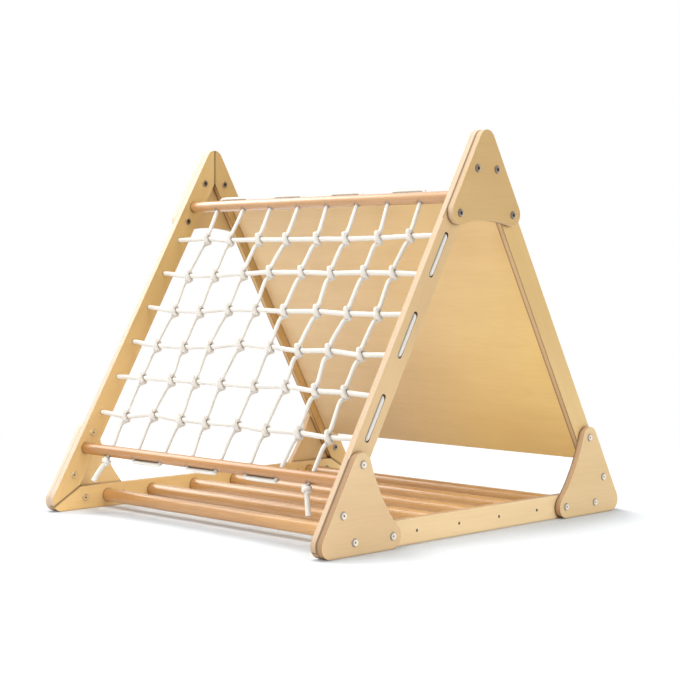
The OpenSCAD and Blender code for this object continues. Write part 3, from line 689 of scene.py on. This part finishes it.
def smooth(points, step):
    """Centripetal Catmull-Rom curve through the points, in steps of about the given length."""
    p = np.asarray(points, float)
    p = np.vstack([2 * p[0] - p[1], p, 2 * p[-1] - p[-2]])
    out = []
    for i in range(1, len(p) - 2):
        p0, p1, p2, p3 = p[i - 1:i + 3]
        t0 = 0.0
        t1 = t0 + math.sqrt(np.linalg.norm(p1 - p0)) + 1e-9
        t2 = t1 + math.sqrt(np.linalg.norm(p2 - p1)) + 1e-9
        t3 = t2 + math.sqrt(np.linalg.norm(p3 - p2)) + 1e-9
        n = max(2, int(np.linalg.norm(p2 - p1) / step) + 1)
        for t in np.linspace(t1, t2, n, endpoint=False):
            a1 = (t1 - t) / (t1 - t0) * p0 + (t - t0) / (t1 - t0) * p1
            a2 = (t2 - t) / (t2 - t1) * p1 + (t - t1) / (t2 - t1) * p2
            a3 = (t3 - t) / (t3 - t2) * p2 + (t - t2) / (t3 - t2) * p3
            b1 = (t2 - t) / (t2 - t0) * a1 + (t - t0) / (t2 - t0) * a2
            b2 = (t3 - t) / (t3 - t1) * a2 + (t - t1) / (t3 - t1) * a3
            out.append((t2 - t) / (t2 - t1) * b1 + (t - t1) / (t2 - t1) * b2)
    out.append(p[-2])
    return np.array(out)


LOOSE, LOOSENING = 0.046, 0.010           # length of a loose end, and of the change to it
FLARE, FLARING = 0.0004, 0.006            # how much an end flares, and over what length
# Two rings round off each end: how far beyond it they lie, their radius as a part of the end's,
# and how far beyond it they lie on the braid's pattern
CAP = [(0.0008, 0.45, 0.002), (0.0005, 0.82, 0.001)]


def rope_tube(name, path, radius, loose, sides=16):
    """A closed tube along the path with its braid's coordinates. Its last stretches are looser and
    flare a little."""
    t = np.gradient(path, axis=0)
    t /= np.linalg.norm(t, axis=1)[:, None]
    u = np.zeros_like(t)
    hint = np.array([0.3, 0.2, 1.0])
    u[0] = hint - t[0] * (hint @ t[0])
    u[0] /= np.linalg.norm(u[0])
    for i in range(1, len(path)):
        u[i] = u[i - 1] - t[i] * (u[i - 1] @ t[i])
        u[i] /= np.linalg.norm(u[i])
    w = np.cross(t, u)
    steps = np.linalg.norm(np.diff(path, axis=0), axis=1)
    length = np.concatenate([[0], np.cumsum(steps)])
    left = np.minimum(length, length[-1] - length)
    thick = (radius + (loose - radius) * np.clip((LOOSE - left) / LOOSENING, 0, 1)
             + FLARE * np.clip(1 - left / FLARING, 0, 1))
    centres = ([path[0] - t[0] * d for d, _, _ in CAP] + list(path)
               + [path[-1] + t[-1] * d for d, _, _ in CAP[::-1]])
    radii = ([thick[0] * f for _, f, _ in CAP] + list(thick)
             + [thick[-1] * f for _, f, _ in CAP[::-1]])
    us, ws = ([q[0]] * len(CAP) + list(q) + [q[-1]] * len(CAP) for q in (u, w))
    vs = ([length[0] - d for _, _, d in CAP] + list(length)
          + [length[-1] + d for _, _, d in CAP[::-1]])
    rings = len(centres)
    angle = 2 * math.pi * np.arange(sides) / sides
    c, s = np.cos(angle), np.sin(angle)
    verts = np.concatenate([m + r * (c[:, None] * u_ + s[:, None] * w_)
                            for m, r, u_, w_ in zip(centres, radii, us, ws)])
    faces, uv = [], []
    turn = 2 * math.pi * radius
    for i in range(rings - 1):
        for j in range(sides):
            a, b = i * sides + j, i * sides + (j + 1) % sides
            faces.append((a, b, b + sides, a + sides))
            v0, v1 = vs[i] / turn, vs[i + 1] / turn
            uv += [j / sides, v0, (j + 1) / sides, v0, (j + 1) / sides, v1, j / sides, v1]
    faces.append(tuple(range(sides - 1, -1, -1)))
    uv += [x for j in range(sides) for x in (j / sides, vs[0] / turn)]
    faces.append(tuple((rings - 1) * sides + j for j in range(sides)))
    uv += [x for j in range(sides) for x in (j / sides, vs[-1] / turn)]
    mesh = bpy.data.meshes.new(name)
    mesh.from_pydata(verts.tolist(), [], faces)
    mesh.uv_layers.new(name="braid").data.foreach_set("uv", uv)
    mesh.polygons.foreach_set("use_smooth", [True] * len(faces))
    mesh.materials.append(ROPE_MAT)
    mesh.update()
    return link(bpy.data.objects.new(name, mesh))


def barrel(centre, axis, across, reach, length, turns, steps=26):
    """Centre line of a barrel knot: the rope winds round its axis, and leaves along it."""
    axis, across = np.array(axis, float), np.array(across, float)
    axis /= np.linalg.norm(axis)
    across = across - axis * (across @ axis)
    across /= np.linalg.norm(across)
    third = np.cross(axis, across)
    out = []
    for q in np.linspace(0, 1, steps):
        r = reach * min(1.0, 6.0 * q + 0.15, 6.0 * (1 - q) + 0.15)
        a = 2 * math.pi * turns * q
        out.append(np.array(centre) + axis * (q - 0.5) * length
                   + r * (math.cos(a) * across + math.sin(a) * third))
    return out


def knot_at(row, k):
    """Where a row and a column cross, across the net and up it."""
    dx, dv = KNOT_OFF[row - 1][k - 1]
    return column_x(k) + dx * MM, row_v(row) + dv * MM


def bend(start, a, b, steps=6):
    """A quarter turn that leaves the start along a and ends along b."""
    start, a, b = (np.array(v, float) for v in (start, a, b))
    return [start + BEND_R * (math.sin(q) * a + (1 - math.cos(q)) * b)
            for q in np.linspace(0, math.pi / 2, steps)]


def column_points(k):
    """A rope of the net from the top dowel down to the bottom one."""
    x0, beyond = column_x(k), DOWEL_R + 0.002
    pts = [(x0, NET_V + d, 0) for d in (beyond, 0, -beyond)]
    for row in range(1, ROWS + 1):
        x, v = knot_at(row, k)
        pts += [(x + a * MM, v + b * MM, c * MM) for a, b, c in KNOT]
    return pts + [(x0, -NET_V + d, 0) for d in (beyond, 0, -beyond)]


def loop_points(k, end):
    """A loop outside a net dowel, from one column to the next: above the top one (1) or below the
    bottom one (-1)."""
    return (bend((column_x(k), end * (LOOP_V[end] - BEND_R), 0), (0, end, 0), (1, 0, 0))
            + bend((column_x(k + 1) - BEND_R, end * LOOP_V[end], 0), (1, 0, 0), (0, -end, 0)))


def hanging(start, end, bow):
    """A short free rope end from start to end, slightly bowed."""
    start, end, bow = (np.array(v, float) for v in (start, end, bow))
    return [start + (end - start) * q + bow * math.sin(math.pi * q) for q in (0.25, 0.5, 0.75, 1.0)]


# Free ends: their directions, and where they start and end, from the knot's middle
TAILS = {1: (-0.22, -0.97, 0.04), COLUMNS: (0.26, -0.91, -0.35)}
TAIL_START, TAIL_END = 0.009, 0.0525
SIDE_TAIL_START, SIDE_TAIL_END = 0.010, 0.0235


def end_knot(k):
    """Barrel knot under the bottom dowel and its hanging end, from the top down."""
    centre = np.array((column_x(k), KNOT_V, 0))
    away = np.array(TAILS[k]) / np.linalg.norm(TAILS[k])
    pts = barrel(centre, away, (0.3, 0, 1), reach=0.0064, length=0.0118, turns=1.9)
    return pts + hanging(centre + away * TAIL_START, centre + away * TAIL_END, (0, MM, MM))


down = end_knot(1)[::-1]
for k in range(1, COLUMNS + 1):
    climbs = k % 2 == 1
    down += column_points(k)[::-1 if climbs else 1]
    if k < COLUMNS:
        down += loop_points(k, 1 if climbs else -1)
down += end_knot(COLUMNS)


def side_knot(v, sign):
    """Barrel knot lying flat outside the left rail, with its short end hanging down."""
    centre = np.array((KNOT_X, v, 0))
    pts = barrel(centre, (0, -1, 0), (1, 0, 0.3 * sign), reach=0.0058, length=0.0110, turns=1.75)
    start, end = (centre - (0, d, 0) for d in (SIDE_TAIL_START, SIDE_TAIL_END))
    return pts + hanging(start, end, (0, 0, 0))


# Where the second rope is straight beside a knot, and in and at the rails' holes
BESIDE, IN_HOLE, AT_HOLE = 0.012, OUTER_X - 0.006, INNER_X - 0.004
across = side_knot(row_v(1), 1)[::-1]
for row in range(1, ROWS + 1):
    v0 = row_v(row)
    to = 1 if row % 2 else -1
    across += [(-to * IN_HOLE, v0, 0), (-to * AT_HOLE, v0, 0)]
    for k in range(1, COLUMNS + 1)[::to]:
        x, v = knot_at(row, k)
        across += [(x - to * BESIDE, v, 0), (x, v, 0), (x + to * BESIDE, v, 0)]
    across += [(to * AT_HOLE, v0, 0)]
    if row < ROWS:
        across += bend((to * (SLOT_X - BEND_R), v0, SLOT_IN), (to, 0, 0), (0, -1, 0))
        across += bend((to * SLOT_X, row_v(row + 1) + BEND_R, SLOT_IN), (0, -1, 0), (-to, 0, 0))
across += [(-IN_HOLE, row_v(ROWS), 0)] + side_knot(row_v(ROWS), -1)

for node, pts, step, radius, loose in (("rope_down", down, 0.0020, DOWN_R, DOWN_END_R),
                                       ("rope_across", across, 0.0022, ACROSS_R, ACROSS_R)):
    rope = rope_tube(f"braided_{node}", to_world(smooth(pts, step)), radius, loose)
    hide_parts(node)
    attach(rope, BODY)

# ---------------------------------------------------------------- floor and light

WHITE = (1, 1, 1, 1)
FLOOR_HALF, FLOOR_Z = 14, -0.0004         # a little below the feet, so that no faces coincide
SHADE_REACH, SHADE_SAMPLES = 0.60, 16
FADE_SCALE = 0.25                         # from metres to places on the fade's ramp
# Floor colour with painted shadow, by how open the sky is above it, and to reflected and to
# other rays
FLOOR_SHADOW_TONES = ((0.30, (0.74, 0.78, 0.82)), (0.62, (0.62, 0.66, 0.70)),
               (0.76, (0.60, 0.64, 0.68)), (0.94, (0.88, 0.92, 0.96)))
FLOOR_MIRRORED, FLOOR_UNSEEN = (0.90, 0.93, 0.97), (0.80, 0.80, 0.80)
SKY, SKY_STRENGTH = (0.97, 0.98, 1.0, 1), 0.42


def seen_rays(k):
    """1 for rays that show a surface or its reflection, 0 for those that carry its light."""
    path = k.t.nodes.new("ShaderNodeLightPath").outputs
    return k.math("MAXIMUM", k.math("MAXIMUM", path["Is Camera Ray"], path["Is Glossy Ray"]),
                  path["Is Transmission Ray"])


def light_source(k, kind, colour, strength):
    """An emission or background shader of one colour."""
    n = k.t.nodes.new(kind)
    n.inputs["Color"].default_value = colour
    n.inputs["Strength"].default_value = strength
    return n.outputs[0]


def blend_out(k, fac, first, second, kind):
    """Mixes two shaders into the tree's output."""
    blend = k.t.nodes.new("ShaderNodeMixShader")
    for s, v in zip(blend.inputs, (fac, first, second)):
        k.put(s, v)
    out = next(n for n in k.t.nodes if n.type == kind)
    k.put(out.inputs["Surface"], blend.outputs[0])


corners = [(x * FLOOR_HALF, y * FLOOR_HALF, FLOOR_Z)
           for x, y in ((-1, -1), (1, -1), (1, 1), (-1, 1))]
floor_mesh = bpy.data.meshes.new("floor")
floor_mesh.from_pydata(corners, [], [(0, 1, 2, 3)])
floor = link(bpy.data.objects.new("floor", floor_mesh))
floor_mat, k, shader = new_material("white_floor")
seen = seen_rays(k)
# painted shadow round the object, from how open the sky is above the floor
painted_floor_shadow = k.ramp(k.open_sky(SHADE_REACH, SHADE_SAMPLES), *FLOOR_SHADOW_TONES)
direct = k.t.nodes.new("ShaderNodeLightPath").outputs["Is Camera Ray"]
mirrored = k.mix(seen, FLOOR_UNSEEN, FLOOR_MIRRORED)
surface(k, shader, k.mix(direct, mirrored, painted_floor_shadow), 0.9, 0.1)
away = k.math("MULTIPLY", k.vector("LENGTH", k.coords()), FADE_SCALE)
fade = k.math("MULTIPLY", k.ramp(away, (0.28, 0.0), (0.48, 1.0)), seen)
blend_out(k, fade, shader.outputs[0], light_source(k, "ShaderNodeEmission", WHITE, 1.0),
          "OUTPUT_MATERIAL")
floor_mesh.materials.append(floor_mat)

world = bpy.data.worlds.new("studio")
bpy.context.scene.world = world
world.use_nodes = True
k = Nodes(world.node_tree)
ground = next(n for n in k.t.nodes if n.type == "BACKGROUND")
ground.inputs["Color"].default_value = SKY
ground.inputs["Strength"].default_value = SKY_STRENGTH
blend_out(k, seen_rays(k), ground.outputs[0],
          light_source(k, "ShaderNodeBackground", WHITE, 1.0), "OUTPUT_WORLD")


def area(name, place, aim, size, power, colour):
    """A square area lamp."""
    lamp = bpy.data.lights.new(name, "AREA")
    lamp.shape, lamp.size, lamp.size_y = "RECTANGLE", size, size
    lamp.energy, lamp.color = power, colour
    obj = link(bpy.data.objects.new(name, lamp))
    obj.location = place
    obj.rotation_mode = "QUATERNION"
    obj.rotation_quaternion = (Vector(aim) - Vector(place)).to_track_quat("-Z", "Y")


AIM, LIGHT, PALER_LIGHT = (0, 0, 0.35), (1.0, 0.99, 0.97), (1.0, 0.99, 0.98)
area("top", (-0.2, -0.2, 3.0), (0, 0, 0.2), 1.5, 60, LIGHT)
area("front", (0.2, -3.2, 1.4), AIM, 2.0, 55, LIGHT)
area("right", (3.2, 0.3, 1.2), AIM, 2.0, 38, LIGHT)
area("left", (-2.7, -0.6, 2.3), AIM, 2.0, 62, PALER_LIGHT)
area("rear", (0.0, 3.2, 1.6), AIM, 2.0, 14, PALER_LIGHT)

bpy.context.scene.view_settings.view_transform = "Standard"
